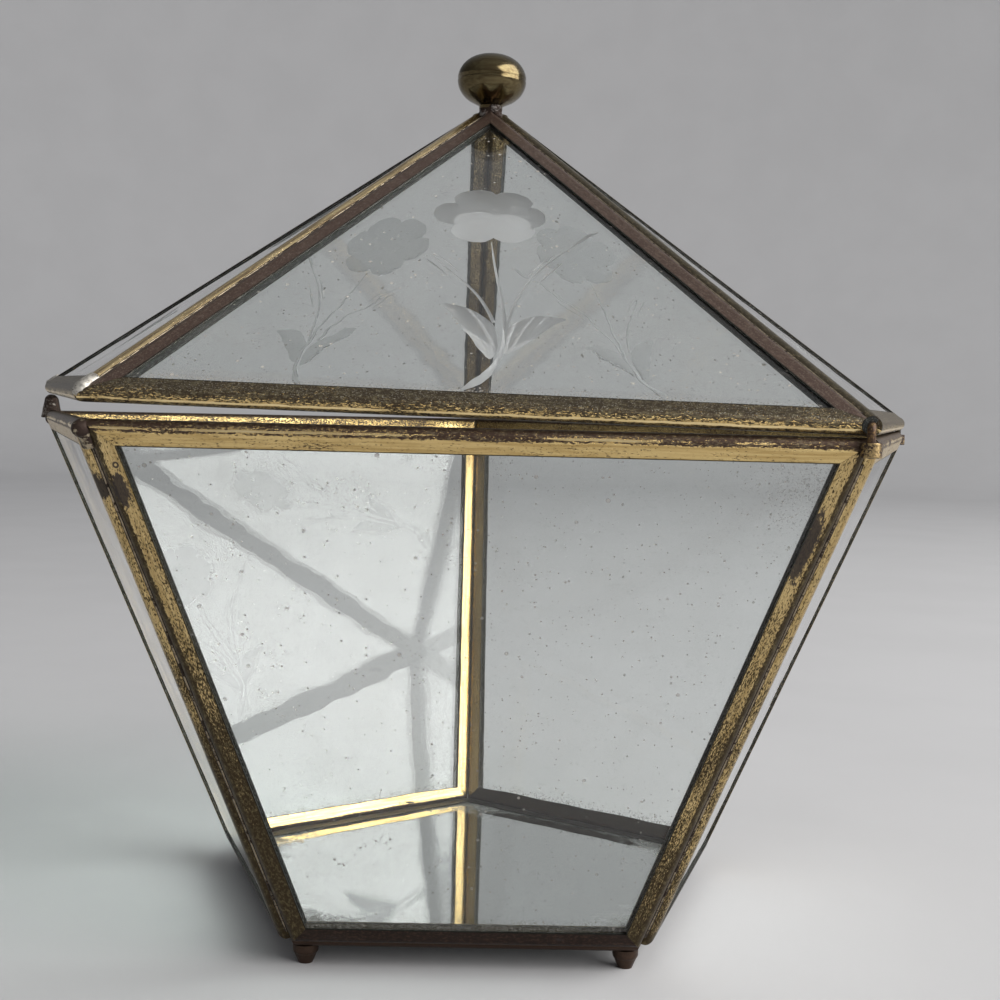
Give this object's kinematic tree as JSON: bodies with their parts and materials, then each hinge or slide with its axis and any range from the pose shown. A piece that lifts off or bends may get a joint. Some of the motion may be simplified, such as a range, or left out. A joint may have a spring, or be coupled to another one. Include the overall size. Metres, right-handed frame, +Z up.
{
  "type": "glass casket box",
  "caption": "Five-sided trinket casket of clear panes edged in brass channel, flared walls on a mirror floor, with a hinged pyramid lid and a ball knob.",
  "frame": {"origin": "under the middle of the outline, on the surface that the feet stand on", "axes": "+Z up, -Y towards the front wall, +X to the right; the hinge is along the rim of the wall on the right"},
  "size_m": [0.1327, 0.1266, 0.1179],
  "materials": {
    "clear_glass": "clear thin glass, faintly grey-green, with dust; the lid's panes carry a frosted wheel-cut flower",
    "mirror_glass": "silvered glass floor, a little worn",
    "brass": "old brass, pale gold where rubbed, with brown speckle and pits",
    "dark_brass": "brass darkened to brown-bronze with age, with brighter rubbed edges",
    "solder": "dull tin solder, grey, stained brown"
  },
  "bodies": {
    "box": {"front_glass": "clear_glass", "front_bottom_came": "dark_brass", "front_right_came": "brass", "front_top_came": "brass", "front_left_came": "brass", "right_glass": "clear_glass", "right_bottom_came": "dark_brass", "right_right_came": "brass", "right_top_came": "brass", "right_left_came": "brass", "back_right_glass": "clear_glass", "back_right_bottom_came": "dark_brass", "back_right_right_came": "brass", "back_right_top_came": "brass", "back_right_left_came": "brass", "back_left_glass": "clear_glass", "back_left_bottom_came": "dark_brass", "back_left_right_came": "brass", "back_left_top_came": "brass", "back_left_left_came": "brass", "left_glass": "clear_glass", "left_bottom_came": "dark_brass", "left_right_came": "brass", "left_top_came": "brass", "left_left_came": "brass", "mirror_floor": "mirror_glass", "floor_came": "dark_brass", "feet": "dark_brass", "post_solder": "solder", "base_solder": "solder", "rim_solder": "solder", "hinge_wire": "dark_brass", "hinge_solder": "solder", "lid_rest_bead": "solder"},
    "lid": {"lid_front_glass": "clear_glass", "lid_front_eave_came": "brass", "lid_front_right_hip_came": "dark_brass", "lid_front_left_hip_came": "dark_brass", "lid_right_glass": "clear_glass", "lid_right_eave_came": "brass", "lid_right_right_hip_came": "dark_brass", "lid_right_left_hip_came": "dark_brass", "lid_back_right_glass": "clear_glass", "lid_back_right_eave_came": "brass", "lid_back_right_right_hip_came": "dark_brass", "lid_back_right_left_hip_came": "dark_brass", "lid_back_left_glass": "clear_glass", "lid_back_left_eave_came": "brass", "lid_back_left_right_hip_came": "dark_brass", "lid_back_left_left_hip_came": "dark_brass", "lid_left_glass": "clear_glass", "lid_left_eave_came": "brass", "lid_left_right_hip_came": "dark_brass", "lid_left_left_hip_came": "dark_brass", "hip_solder": "solder", "eave_solder": "solder", "peak_solder": "solder", "knob": "brass"}
  },
  "joints": [
    {"name": "lid_hinge", "type": "hinge", "parent": "box", "child": "lid", "pos_m": [0.05243, -0.02366, 0.0676], "axis": [0.309, 0.9511, 0], "range_deg": [0, 140]}
  ]
}
